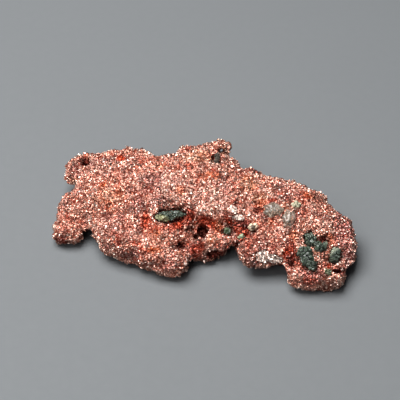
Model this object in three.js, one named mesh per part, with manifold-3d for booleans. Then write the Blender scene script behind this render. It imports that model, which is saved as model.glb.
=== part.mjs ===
// Native copper nugget: a flat, ragged, lumpy piece of copper with mineral grains held in pits of the
// metal. Millimetres, +Z up. The nugget lies on the ground plane z = 0 with its long side along X, and
// the origin is under the middle of its bounding box.
import * as THREE from 'three';
import { MarchingCubes } from 'three/addons/objects/MarchingCubes.js';
import { ImprovedNoise } from 'three/addons/math/ImprovedNoise.js';
import { mergeVertices } from 'three/addons/utils/BufferGeometryUtils.js';
import Module from 'manifold-3d';

// ---------------------------------------------------------------- driving dimensions (mm)
const CELL = 1.3; // edge of one cell of the grid that the metal's skin is traced on
const CELLS = 56; // cells along each side of that grid
const GRID_CENTRE = new THREE.Vector3(0, -10, 6); // middle of that grid
const NEAR_CORNER = 0.07; // the skin keeps this far from a corner of a cell
const BLEND = 0.9; // how far neighbouring lumps flow into each other
const SQUARENESS = 2.5; // 2 makes a lump a true ellipsoid, more makes it boxier
const LIP_BLEND = 0.5; // rounding of the lip of a hollow
const KNOBBLE = { height: 0.75, pitch: 5.2 }; // broad unevenness of the metal
const PIMPLE = { height: 0.35, pitch: 2.6 }; // finer unevenness of the metal
const REST_LEVEL = 0.3; // height at which the feet are worn flat
const SPUR_HOLE = { at: [4.6, 5.6, 9.6], radius: 0.55, length: 9, sides: 8 }; // slants through the spur
const GROUND = { width: 200, depth: 20 }; // block that is cut away below the feet
const MOST_TRIANGLES = 30000; // room for the skin's triangles while it is traced

// Mineral grains: how their places on the skin are found, and the air around each in its pit.
const SEARCH = { from: 20, step: 0.02 }; // height that the search for the skin starts at, and its step
const GRAIN_SPAN = 1.2; // distance over which the skin's slope under a grain is measured
const PIT_GAP = 0.38;

// Finishes.
const METAL_FINISH = { roughness: 0.35, metalness: 1 };
const CRYSTAL_FINISH = { roughness: 0.4, metalness: 0 };
const GREEN = 0x3d5a4c;
const PALE_GREEN = 0x8fa08a;
const OLIVE = 0x6b6238;
const CLEAR = 0xb9b0a6;
const CREAM = 0xd9c3a8;
const HOST_ROCK = 0x4a4038;
const COPPER = 0xc98e82;

// The lumps that the metal is grown from: middle, half sizes and turn about the upright in degrees.
const LUMPS = [
  // left half
  { at: [-18.0, 0.2, 6.8], half: [7.6, 6.4, 4.6], turn: 0 }, // upper plate
  { at: [-25.6, 3.0, 6.2], half: [4.0, 2.8, 2.6], turn: 15 }, // upper corner
  { at: [-26.3, -7.6, 5.0], half: [3.5, 2.6, 2.7], turn: 0 }, // middle lobe
  { at: [-28.4, -12.3, 2.8], half: [3.3, 2.8, 2.7], turn: 0 }, // lower foot
  { at: [-19.4, -7.4, 6.0], half: [6.2, 4.6, 4.2], turn: 0 }, // belly
  { at: [-10.6, -2.5, 7.1], half: [9, 7.0, 4.9], turn: 0 }, // shoulder
  { at: [-13.4, -9.6, 6.2], half: [5.5, 4.6, 4.0], turn: 0 }, // slope below the shoulder
  { at: [-16.2, -15.2, 4.7], half: [6.3, 4.8, 4.2], turn: -12 }, // front bulge
  { at: [-10.2, -19.3, 4.0], half: [4.7, 3.8, 3.5], turn: -25 }, // its lower step
  { at: [-5.8, -22.4, 3.1], half: [2.5, 2.3, 2.7], turn: -20 }, // tip of the front bulge
  { at: [-5.4, -14.0, 4.4], half: [5.2, 3.8, 3.4], turn: 0 }, // web to the ledge
  // middle
  { at: [-1.1, -4.4, 8.2], half: [8, 6.4, 5.2], turn: -10 }, // crown
  { at: [-4.0, -5.8, 7.6], half: [5.0, 3.4, 3.6], turn: 0 }, // skirt of the crown above the lens
  { at: [-7.0, -8.8, 7.4], half: [4.8, 2.6, 2.7], turn: -8 }, // brow over the lens
  { at: [4.4, -8.8, 8.0], half: [5.0, 3.6, 3.0], turn: 0 }, // skirt of the crown above the cavity
  { at: [8.8, -7.6, 9.2], half: [2.8, 2.4, 1.6], turn: 10 }, // overhanging lip of the crown
  { at: [-0.6, -11.0, 3.6], half: [4.5, 3.5, 2.4], turn: 0 }, // floor of the cavity
  { at: [1.3, -16.3, 3.3], half: [5.5, 3.6, 3.1], turn: 10 }, // low ledge under the cavity
  { at: [8.0, -9.8, 6.2], half: [6.4, 5.2, 4.4], turn: -10 }, // saddle
  { at: [10.4, -2.5, 6.6], half: [3.6, 3.2, 3.3], turn: -20 }, // back of the saddle
  // right half
  { at: [16.6, -9.4, 6.8], half: [9, 6.8, 5.2], turn: -20 }, // body
  { at: [16.6, -15.6, 5.8], half: [5.6, 4.2, 4.2], turn: -10 }, // slope below the body
  { at: [23.8, -13.8, 5.6], half: [5.7, 6.2, 4.8], turn: -30 }, // rounded end
  { at: [29.7, -16.4, 4.4], half: [2.7, 4.4, 3.2], turn: 0 }, // rim of the end
  { at: [30.6, -20.0, 3.6], half: [1.9, 2.3, 2.4], turn: 0 }, // lower corner of the rim
  { at: [12.8, -19.3, 4.6], half: [5.5, 4.1, 3.2], turn: 0 }, // front shelf
  { at: [22.6, -20.4, 4.0], half: [4.8, 3.4, 3.7], turn: 0 }, // web to the lobe
  { at: [23.8, -24.9, 3.0], half: [5.6, 3.2, 2.9], turn: 0 }, // boxy lobe at the front
  { at: [20.4, -25.5, 2.8], half: [2.0, 2.0, 2.3], turn: 0 }, // its left corner
  { at: [27.3, -25.6, 2.8], half: [2.1, 2.1, 2.4], turn: 0 }, // its right corner
  // spur at the back
  { at: [0.6, 3.0, 8.0], half: [5.2, 3.2, 3.2], turn: 0 }, // root
  { at: [1.3, 6.2, 8.8], half: [4.2, 1.8, 1.7], turn: 6 }, // head
  { at: [5.3, 7.2, 9.2], half: [1.6, 0.9, 0.9], turn: 0 }, // beak
  { at: [7.2, 2.6, 8.5], half: [1.5, 1.2, 1.3], turn: 0 }, // knob
  // heels underneath that carry the back edge
  { at: [-20.0, 0.0, 2.4], half: [4, 3.2, 2.8], turn: 0 },
  { at: [11.0, -5.0, 2.6], half: [4.5, 3.2, 3.0], turn: 0 },
];

// Hollows in the metal: middle, half sizes and turn about the upright in degrees.
const HOLLOWS = [
  { at: [-0.6, -15.2, 6.8], half: [2.5, 1.5, 2.6], turn: 12 }, // cavity over the low ledge
  { at: [-3.4, -18.4, 5.4], half: [1.7, 0.7, 1.8], turn: 35 }, // slit beside the front bulge
  { at: [23.8, -20.4, 10.0], half: [2.4, 1.4, 2.2], turn: -15 }, // hollow behind the green crystals
  { at: [12.4, -12.8, 11.6], half: [1.9, 1.6, 1.2], turn: 20 }, // hollow left of the clear crystals
  { at: [28.4, -25.6, 6.4], half: [1.5, 1.0, 1.8], turn: 0 }, // gap between the end and its lobe
  { at: [-25.2, 1.8, 10.2], half: [1.4, 1.0, 1.2], turn: 30 }, // hollow at the upper corner
  { at: [-22.9, -17.4, 1.8], half: [1.7, 2.6, 2.6], turn: 12 }, // notch beside the lower foot
  { at: [7.4, -17.6, 1.4], half: [1.5, 2.6, 2.8], turn: 10 }, // notch right of the low ledge
  { at: [16.7, -24.6, 1.6], half: [2.0, 2.4, 2.6], turn: 20 }, // notch left of the boxy lobe
];

// Mineral grains, each held in a pit at `seat` (x, y on the metal's skin). A crystal of a grain has its
// middle `at` (across, along, outwards from the seat), half sizes and turn about the outward direction.
const GRAINS = [
  {
    name: 'green_lens', colour: GREEN, seat: [-6.3, -12.9],
    crystals: [
      { at: [-1.1, -0.3, -0.1], half: [2.4, 1.3, 1.0], turn: 14 },
      { at: [1.2, 0.3, 0.0], half: [2.5, 1.1, 1.0], turn: 20 },
    ],
  },
  {
    name: 'green_bead', colour: GREEN, seat: [5.7, -15.3],
    crystals: [{ at: [0, 0, 0.1], half: [0.85, 0.85, 0.9], turn: 0 }],
  },
  {
    name: 'green_fleck', colour: PALE_GREEN, seat: [8.5, -18.5],
    crystals: [{ at: [0, 0, 0], half: [0.8, 0.6, 0.6], turn: 20 }],
  },
  {
    name: 'green_upper_crystal', colour: GREEN, seat: [23.0, -19.6],
    crystals: [{ at: [0, 0, 0.2], half: [1.2, 1.5, 1.1], turn: 25 }],
  },
  {
    name: 'green_middle_crystal', colour: GREEN, seat: [24.6, -21.7],
    crystals: [
      { at: [0, 0, 0.2], half: [1.1, 1.2, 1.1], turn: 0 },
      { at: [1.1, 0.5, 0.3], half: [0.5, 1.1, 0.9], turn: -15 },
    ],
  },
  {
    name: 'green_large_cluster', colour: GREEN, seat: [21.8, -23.6],
    crystals: [
      { at: [-0.1, 0.5, 0.3], half: [1.7, 1.6, 1.3], turn: 10 },
      { at: [0.3, -1.0, 0.2], half: [1.4, 1.4, 1.1], turn: 40 },
      { at: [1.3, -2.0, 0.0], half: [0.9, 1.2, 0.9], turn: -20 },
    ],
  },
  {
    name: 'green_right_crystal', colour: PALE_GREEN, seat: [28.0, -22.3],
    crystals: [{ at: [0, 0, 0.1], half: [1.1, 1.7, 1.0], turn: -15 }],
  },
  {
    name: 'olive_grain', colour: OLIVE, seat: [26.2, -27.0],
    crystals: [{ at: [0, 0, 0], half: [0.8, 0.65, 0.6], turn: 0 }],
  },
  {
    name: 'clear_upper_crystal', colour: CLEAR, seat: [15.2, -14.0],
    crystals: [
      { at: [-0.3, 0.2, -0.1], half: [1.6, 1.5, 1.0], turn: 20 },
      { at: [0.8, -0.3, 0.0], half: [1.2, 1.2, 0.9], turn: 50 },
    ],
  },
  {
    name: 'clear_lower_crystal', colour: CLEAR, seat: [18.4, -16.4],
    crystals: [{ at: [0, 0, 0], half: [1.2, 1.7, 1.0], turn: -10 }],
  },
  {
    name: 'pale_fleck', colour: PALE_GREEN, seat: [19.9, -12.9],
    crystals: [{ at: [0, 0, 0], half: [0.8, 0.7, 0.6], turn: 0 }],
  },
  {
    name: 'pale_bead', colour: CREAM, seat: [11.0, -17.2],
    crystals: [{ at: [0, 0, 0.1], half: [1.0, 1.0, 0.8], turn: 0 }],
  },
  {
    name: 'spur_matrix', colour: HOST_ROCK, seat: [3.6, 1.3],
    crystals: [
      { at: [0.1, 0.8, -0.1], half: [0.8, 1.0, 0.8], turn: 10 },
      { at: [-0.1, -0.7, -0.1], half: [0.7, 1.1, 0.8], turn: -10 },
    ],
  },
];

// ---------------------------------------------------------------- solids
const wasm = await Module();
wasm.setup();

/** Joins the shared corners of a geometry and makes it a solid. */
function solidFrom(geometry) {
  geometry.deleteAttribute('normal');
  geometry.deleteAttribute('uv');
  const merged = mergeVertices(geometry);
  const vertProperties = new Float32Array(merged.attributes.position.array);
  const triVerts = new Uint32Array(merged.index.array);
  return new wasm.Manifold(new wasm.Mesh({ numProp: 3, vertProperties, triVerts }));
}

/** The geometry of a solid. */
function geometryFrom(solid) {
  const { vertProperties, triVerts } = solid.getMesh();
  const geometry = new THREE.BufferGeometry();
  geometry.setAttribute('position', new THREE.BufferAttribute(new Float32Array(vertProperties), 3));
  geometry.setIndex(new THREE.BufferAttribute(new Uint32Array(triVerts), 1));
  return geometry;
}

// ---------------------------------------------------------------- metal
const noise = new ImprovedNoise();

/** Distance in mm, roughly, from a point to a lump's skin: negative inside. */
function lumpDistance(x, y, z, { at, half, turn }) {
  const angle = THREE.MathUtils.degToRad(turn);
  const dx = x - at[0];
  const dy = y - at[1];
  const along = Math.abs(dx * Math.cos(angle) + dy * Math.sin(angle)) / half[0];
  const across = Math.abs(dy * Math.cos(angle) - dx * Math.sin(angle)) / half[1];
  const up = Math.abs(z - at[2]) / half[2];
  const powers = along ** SQUARENESS + across ** SQUARENESS + up ** SQUARENESS;
  return (powers ** (1 / SQUARENESS) - 1) * Math.min(...half);
}

/** Noise of one pitch, from minus to plus its height. */
function unevenness(x, y, z, { height, pitch }) {
  return height * noise.noise(x / pitch, y / pitch, z / pitch);
}

/** Distance from a point to the skin of the metal: negative inside the metal. */
function metalDistance(x, y, z) {
  let nearness = 0;
  for (const lump of LUMPS) {
    nearness += Math.exp(-lumpDistance(x, y, z, lump) / BLEND);
  }
  let distance = -BLEND * Math.log(nearness);
  distance -= unevenness(x, y, z, KNOBBLE) + unevenness(x, y, z, PIMPLE);
  for (const hollow of HOLLOWS) {
    const outside = Math.exp(-lumpDistance(x, y, z, hollow) / LIP_BLEND);
    distance = LIP_BLEND * Math.log(Math.exp(distance / LIP_BLEND) + outside);
  }
  return distance;
}

/** The metal's skin, traced through a grid of cells. */
function metalGeometry() {
  const grid = new MarchingCubes(CELLS, new THREE.MeshStandardMaterial(), false, false, MOST_TRIANGLES);
  const reach = (CELLS / 2) * CELL;
  for (let k = 0; k < CELLS; k++) {
    const z = GRID_CENTRE.z + k * CELL - reach;
    for (let j = 0; j < CELLS; j++) {
      const y = GRID_CENTRE.y + j * CELL - reach;
      for (let i = 0; i < CELLS; i++) {
        const x = GRID_CENTRE.x + i * CELL - reach;
        const distance = metalDistance(x, y, z);
        const kept = Math.sign(distance) * Math.max(Math.abs(distance), NEAR_CORNER);
        grid.field[i + CELLS * (j + CELLS * k)] = grid.isolation - kept;
      }
    }
  }
  grid.update();
  const geometry = new THREE.BufferGeometry();
  const corners = grid.positionArray.slice(0, 3 * grid.count);
  geometry.setAttribute('position', new THREE.BufferAttribute(corners, 3));
  geometry.scale(reach, reach, reach);
  geometry.translate(GRID_CENTRE.x, GRID_CENTRE.y, GRID_CENTRE.z);
  return geometry;
}

/** The small hole slanting down and back through the spur. */
function spurHole() {
  const { at, radius, length, sides } = SPUR_HOLE;
  const geometry = new THREE.CylinderGeometry(radius, radius, length, sides);
  const slant = new THREE.Quaternion().setFromUnitVectors(
    new THREE.Vector3(0, 1, 0),
    new THREE.Vector3(0, 1, -1).normalize(),
  );
  geometry.applyQuaternion(slant);
  geometry.translate(...at);
  return solidFrom(geometry);
}

/** Everything below the level at which the feet are flat. */
function ground() {
  const geometry = new THREE.BoxGeometry(GROUND.width, GROUND.width, GROUND.depth);
  geometry.translate(0, 0, REST_LEVEL - GROUND.depth / 2);
  return solidFrom(geometry);
}

// ---------------------------------------------------------------- mineral grains
/** The point of the metal's skin straight above or below a seat. */
function skinPoint([x, y]) {
  let z = SEARCH.from;
  while (metalDistance(x, y, z) > 0) {
    z -= SEARCH.step;
  }
  return new THREE.Vector3(x, y, z);
}

/** The outward direction of the metal's skin at a point, smoothed over the size of a grain. */
function outward({ x, y, z }) {
  const span = GRAIN_SPAN;
  return new THREE.Vector3(
    metalDistance(x + span, y, z) - metalDistance(x - span, y, z),
    metalDistance(x, y + span, z) - metalDistance(x, y - span, z),
    metalDistance(x, y, z + span) - metalDistance(x, y, z - span),
  ).normalize();
}

/** A grain as one solid, each of its crystals grown by `extra` all round. */
function grainSolid(grain, extra) {
  const place = skinPoint(grain.seat);
  const lean = new THREE.Quaternion().setFromUnitVectors(new THREE.Vector3(0, 0, 1), outward(place));
  const solids = grain.crystals.map(({ at, half, turn }) => {
    const geometry = new THREE.IcosahedronGeometry(1, 0);
    geometry.scale(half[0] + extra, half[1] + extra, half[2] + extra);
    geometry.rotateZ(THREE.MathUtils.degToRad(turn));
    geometry.translate(...at);
    geometry.applyQuaternion(lean);
    geometry.translate(place.x, place.y, place.z);
    return solidFrom(geometry);
  });
  return solids.reduce((joined, solid) => joined.add(solid));
}

// ---------------------------------------------------------------- the nugget and its grains
/** A named mesh of a solid. */
function namedMesh(name, solid, colour, finish) {
  const material = new THREE.MeshStandardMaterial({ color: colour, ...finish });
  const mesh = new THREE.Mesh(geometryFrom(solid), material);
  mesh.name = name;
  return mesh;
}

let metal = solidFrom(metalGeometry()).subtract(ground()).subtract(spurHole());
for (const grain of GRAINS) {
  metal = metal.subtract(grainSolid(grain, PIT_GAP));
}

const nugget = new THREE.Group();
nugget.add(namedMesh('copper_nugget', metal, COPPER, METAL_FINISH));
for (const grain of GRAINS) {
  nugget.add(namedMesh(grain.name, grainSolid(grain, 0), grain.colour, CRYSTAL_FINISH));
}

// The origin goes under the middle of the bounding box, at the level of the feet.
const middle = new THREE.Box3().setFromObject(nugget).getCenter(new THREE.Vector3());
nugget.position.set(-middle.x, -middle.y, -REST_LEVEL);

const model = new THREE.Group();
model.add(nugget);

export default model;
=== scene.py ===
"""Dresses the solid model of a native copper nugget: ragged crystalline metal and its mineral grains.

Lengths are metres and colours are linear. The nugget lies on z = 0 with its long side along X and its
spur towards +Y, as in the solid model that the frame holds.
"""

from __future__ import annotations

import logging
import math
from collections.abc import Callable
from dataclasses import dataclass, field
from enum import Enum, IntEnum

import bpy
import numpy as np
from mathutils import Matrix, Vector


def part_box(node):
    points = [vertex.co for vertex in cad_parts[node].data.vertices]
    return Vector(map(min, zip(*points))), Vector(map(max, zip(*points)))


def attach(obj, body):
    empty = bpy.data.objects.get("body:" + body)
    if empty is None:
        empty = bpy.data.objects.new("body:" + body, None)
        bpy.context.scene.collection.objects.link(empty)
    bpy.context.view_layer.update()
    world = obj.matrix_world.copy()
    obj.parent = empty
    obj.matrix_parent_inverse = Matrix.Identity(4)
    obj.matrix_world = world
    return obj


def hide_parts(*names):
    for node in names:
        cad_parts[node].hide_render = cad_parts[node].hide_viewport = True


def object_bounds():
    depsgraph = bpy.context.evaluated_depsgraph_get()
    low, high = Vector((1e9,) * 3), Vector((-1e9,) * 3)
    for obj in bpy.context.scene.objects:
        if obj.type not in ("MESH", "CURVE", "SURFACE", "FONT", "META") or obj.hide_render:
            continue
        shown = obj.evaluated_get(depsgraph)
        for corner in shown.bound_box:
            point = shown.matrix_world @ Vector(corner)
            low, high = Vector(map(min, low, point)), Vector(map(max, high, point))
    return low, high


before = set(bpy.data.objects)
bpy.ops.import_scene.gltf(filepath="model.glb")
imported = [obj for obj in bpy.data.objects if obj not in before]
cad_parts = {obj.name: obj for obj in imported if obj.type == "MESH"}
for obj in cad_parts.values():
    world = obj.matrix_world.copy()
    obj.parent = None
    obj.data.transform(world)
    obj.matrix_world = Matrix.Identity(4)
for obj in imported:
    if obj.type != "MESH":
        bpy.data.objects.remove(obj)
CAD_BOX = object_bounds()

MM = 0.001
ROOT = "root"
log = logging.getLogger("copper_nugget")

TINT = "tint"
UNFOLDED = "OFBake"
WELD_GAP = 0.002 * MM
TINY = 1e-20

Colour = tuple[float, float, float]
Point = tuple[float, float, float]
WHITE: Colour = (1.0, 1.0, 1.0)


class Seed(IntEnum):
    """Numbers that pick each noise and each run of random draws."""

    SWELL = 3
    KNOT = 9
    GRAIN = 11
    RAGGED = 21
    PALE = 22
    RUSTY = 23
    DUSKY = 24
    STONE = 31
    CRUST_LEFT = 101
    CRUST_MIDDLE = 102
    CRUST_RIGHT = 103
    CRUST_UNDERSIDE = 104
    RIDGE_CRYSTALS = 105
    BRIGHT_FACES = 301


# ---------------------------------------------------------------- repeatable noise
# Numbers that scramble a cell's place, the seed and the channel into one share.
AXIS_STEPS = (73856093, 19349663, 83492791)
SEED_STEP = 374761393
CHANNEL_STEP = 668265263
SCRAMBLER = 0xFF51AFD7ED558CCD
SCRAMBLE_SHIFTS = (33, 29, 32)
SHARE_BITS = 24
OCTAVE_SEED_STEP = 17


@dataclass(frozen=True)
class SolidNoise:
    """Noise that fills space and comes out the same on every run.

    Attributes:
        seed: Number that picks one noise out of many.
    """

    seed: int = 1

    def share(self, cells: np.ndarray, channel: int) -> np.ndarray:
        """Gives each whole-numbered cell a random share.

        Args:
            cells: Whole coordinates, one row of three for each cell.
            channel: Picks one of several independent shares for the same cell.

        Returns:
            One number from 0 to 1 for each cell.
        """
        places = cells.astype(np.int64).astype(np.uint64)
        mixed = np.full(len(cells), np.uint64(self.seed * SEED_STEP + channel * CHANNEL_STEP))
        for axis, step in enumerate(AXIS_STEPS):
            mixed ^= places[:, axis] * np.uint64(step)
        for shift in SCRAMBLE_SHIFTS:
            mixed = (mixed ^ (mixed >> np.uint64(shift))) * np.uint64(SCRAMBLER)
        return (mixed >> np.uint64(64 - SHARE_BITS)).astype(float) / float(1 << SHARE_BITS)

    def smooth(self, points: np.ndarray, pitch: float) -> np.ndarray:
        """Makes soft noise of one pitch.

        Args:
            points: Places to read it at, one row of three for each.
            pitch: Distance over which it changes.

        Returns:
            One number from -1 to 1 for each point.
        """
        scaled = points / pitch
        corner = np.floor(scaled)
        part = scaled - corner
        part = part * part * (3.0 - 2.0 * part)
        total = np.zeros(len(points))
        for step in np.ndindex(2, 2, 2):
            weight = np.prod(np.where(np.array(step) == 1, part, 1.0 - part), axis=1)
            total += weight * self.share(corner + np.array(step), 0)
        return 2.0 * total - 1.0

    def fractal(self, points: np.ndarray, pitch: float, octaves: int) -> np.ndarray:
        """Adds up soft noise of finer and finer pitch.

        Args:
            points: Places to read it at, one row of three for each.
            pitch: Pitch of the broadest layer; each further layer has half of the one before.
            octaves: How many layers.

        Returns:
            One number, mostly from -1 to 1, for each point.
        """
        total = np.zeros(len(points))
        for octave in range(octaves):
            layer = SolidNoise(self.seed + OCTAVE_SEED_STEP * octave)
            total += layer.smooth(points, pitch / 2**octave) / 2**octave
        return total

    def facets(self, points: np.ndarray, pitch: float) -> tuple[np.ndarray, np.ndarray, np.ndarray]:
        """Splits space into grains, each with a tilted flat top.

        Args:
            points: Places to read it at, one row of three for each.
            pitch: Usual size of a grain.

        Returns:
            The height of the tilted top at each point, about -1 to 1, each grain's random share, and how
            far inside its grain each point is, 0 at the border and 1 well inside.
        """
        place_channels, tilt_channels, grain_channel = (1, 2, 3), (4, 5, 6), 7
        border_sharpness = 3.0
        scaled = points / pitch
        home = np.floor(scaled)
        nearest = np.full(len(points), np.inf)
        second = np.full(len(points), np.inf)
        height = np.zeros(len(points))
        share = np.zeros(len(points))
        for step in np.ndindex(3, 3, 3):
            cell = home + np.array(step) - 1.0
            jitter = np.stack([self.share(cell, channel) for channel in place_channels], axis=1)
            away = scaled - cell - jitter
            distance = np.einsum("ij,ij->i", away, away)
            tilt = np.stack([self.share(cell, channel) for channel in tilt_channels], axis=1) - 0.5
            closer = distance < nearest
            second = np.where(closer, nearest, np.minimum(second, distance))
            nearest = np.where(closer, distance, nearest)
            height = np.where(closer, 2.0 * np.einsum("ij,ij->i", away, tilt), height)
            share = np.where(closer, self.share(cell, grain_channel), share)
        inside = np.clip(border_sharpness * (np.sqrt(second) - np.sqrt(nearest)), 0.0, 1.0)
        return height, share, inside


# ---------------------------------------------------------------- mesh work
@dataclass
class Skin:
    """A mesh held as arrays while it is worked on.

    Attributes:
        points: One row of three coordinates for each corner.
        polygons: One row of corner numbers for each face, all faces with as many corners.
    """

    points: np.ndarray
    polygons: np.ndarray

    @classmethod
    def of_mesh(cls, mesh: bpy.types.Mesh) -> Skin:
        """Reads a mesh whose faces all have as many corners.

        Args:
            mesh: The mesh to read.

        Returns:
            Its corners and faces.
        """
        points = np.zeros(3 * len(mesh.vertices))
        mesh.vertices.foreach_get("co", points)
        corners = np.zeros(len(mesh.loops), np.int64)
        mesh.loops.foreach_get("vertex_index", corners)
        sides = len(mesh.loops) // max(1, len(mesh.polygons))
        return cls(points.reshape(-1, 3), corners.reshape(-1, sides))

    def triangles(self) -> np.ndarray:
        """Splits each face into triangles, one row of three corner numbers each."""
        fan = [self.polygons[:, [0, k, k + 1]] for k in range(1, self.polygons.shape[1] - 1)]
        return np.concatenate(fan)

    def normals(self) -> np.ndarray:
        """Works out the outward direction at each corner."""
        triangles = self.triangles()
        a, b, c = (self.points[triangles[:, k]] for k in range(3))
        across = np.cross(b - a, c - a)
        total = np.zeros_like(self.points)
        for k in range(3):
            np.add.at(total, triangles[:, k], across)
        return total / np.maximum(np.linalg.norm(total, axis=1, keepdims=True), TINY)

    def edges(self) -> np.ndarray:
        """Lists each edge once in each direction, as pairs of corner numbers."""
        ahead = np.stack([self.polygons, np.roll(self.polygons, -1, axis=1)], axis=2).reshape(-1, 2)
        return np.concatenate([ahead, ahead[:, ::-1]])

    def averaged(self, values: np.ndarray, times: int) -> np.ndarray:
        """Evens values out over the mesh.

        Args:
            values: One row for each corner.
            times: How often each corner takes the mean of its neighbours.

        Returns:
            The evened values.
        """
        pairs = self.edges()
        count = np.bincount(pairs[:, 0], minlength=len(values)).astype(float)
        columns = values.reshape(len(values), -1)
        for _ in range(times):
            sums = [
                np.bincount(pairs[:, 0], weights=columns[pairs[:, 1], k], minlength=len(columns))
                for k in range(columns.shape[1])
            ]
            columns = np.stack(sums, axis=1) / count[:, None]
        return columns.reshape(values.shape)

    def raise_by(self, heights: np.ndarray) -> None:
        """Moves each corner outwards by its height."""
        self.points = self.points + self.normals() * heights[:, None]

    def proudness(self, times: int) -> np.ndarray:
        """Measures how far each corner stands proud of its surroundings.

        Args:
            times: How far the surroundings reach, in rounds of averaging.

        Returns:
            One length for each corner: above zero on ridges, below zero in hollows.
        """
        level = self.averaged(self.points, times)
        return np.einsum("ij,ij->i", self.points - level, self.normals())

    def unfolded(self) -> np.ndarray:
        """Lays each face in a place of its own on a square sheet, one row of two for each face corner."""
        sides = self.polygons.shape[1]
        low, high = 0.06, 0.86
        corners = np.array([(low, low), (high, low), (high, high), (low, high)][:sides])
        per_cell = 2 if sides == 3 else 1
        number = np.arange(len(self.polygons))
        across = math.ceil(math.sqrt(len(self.polygons) / per_cell))
        cell = np.stack([(number // per_cell) % across, (number // per_cell) // across], axis=1)
        flipped = (number % per_cell == 1)[:, None, None]
        inner = np.where(flipped, 1.0 - corners[None], corners[None])
        return ((cell[:, None] + inner) / across).reshape(-1, 2)

    def piece(self, name: str, material: bpy.types.Material) -> bpy.types.Object:
        """Makes a flat-shaded object of the mesh.

        Args:
            name: The object's name.
            material: Its finish.

        Returns:
            The object, linked into the scene.
        """
        mesh = bpy.data.meshes.new(name)
        sides = self.polygons.shape[1]
        mesh.vertices.add(len(self.points))
        mesh.vertices.foreach_set("co", self.points.astype(np.float32).ravel())
        mesh.loops.add(self.polygons.size)
        mesh.loops.foreach_set("vertex_index", self.polygons.astype(np.int32).ravel())
        mesh.polygons.add(len(self.polygons))
        mesh.polygons.foreach_set("loop_start", np.arange(0, self.polygons.size, sides, dtype=np.int32))
        mesh.update(calc_edges=True)
        mesh.shade_flat()
        sheet = mesh.uv_layers.new(name=UNFOLDED)
        sheet.uv.foreach_set("vector", self.unfolded().astype(np.float32).ravel())
        mesh.materials.append(material)
        made = bpy.data.objects.new(name, mesh)
        bpy.context.scene.collection.objects.link(made)
        return made


def remeshed(node: str, voxel: float) -> Skin:
    """Covers a node of the solid model with an even mesh of small squares.

    Args:
        node: Name of the node.
        voxel: Side of a square.

    Returns:
        The even mesh.
    """
    copy = bpy.data.objects.new(f"{node}_copy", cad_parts[node].data.copy())
    bpy.context.scene.collection.objects.link(copy)
    weld = copy.modifiers.new("weld", "WELD")
    weld.merge_threshold = WELD_GAP
    remesh = copy.modifiers.new("remesh", "REMESH")
    remesh.mode = "VOXEL"
    remesh.voxel_size = voxel
    mesh = bpy.data.meshes.new_from_object(copy.evaluated_get(bpy.context.evaluated_depsgraph_get()))
    bpy.data.objects.remove(copy)
    skin = Skin.of_mesh(mesh)
    bpy.data.meshes.remove(mesh)
    return skin


def paint(made: bpy.types.Object, name: str, colours: np.ndarray) -> None:
    """Stores one colour for each corner of a mesh.

    Args:
        made: The object whose mesh is painted.
        name: Name of the colour layer.
        colours: One row of red, green and blue for each corner.
    """
    layer = made.data.color_attributes.new(name, "FLOAT_COLOR", "POINT")
    opaque = np.concatenate([colours, np.ones((len(colours), 1))], axis=1)
    layer.data.foreach_set("color", opaque.astype(np.float32).ravel())


def centre_of(node: str) -> np.ndarray:
    """Gives the middle of a node's box."""
    low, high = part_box(node)
    return np.array((low + high) / 2)


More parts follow.
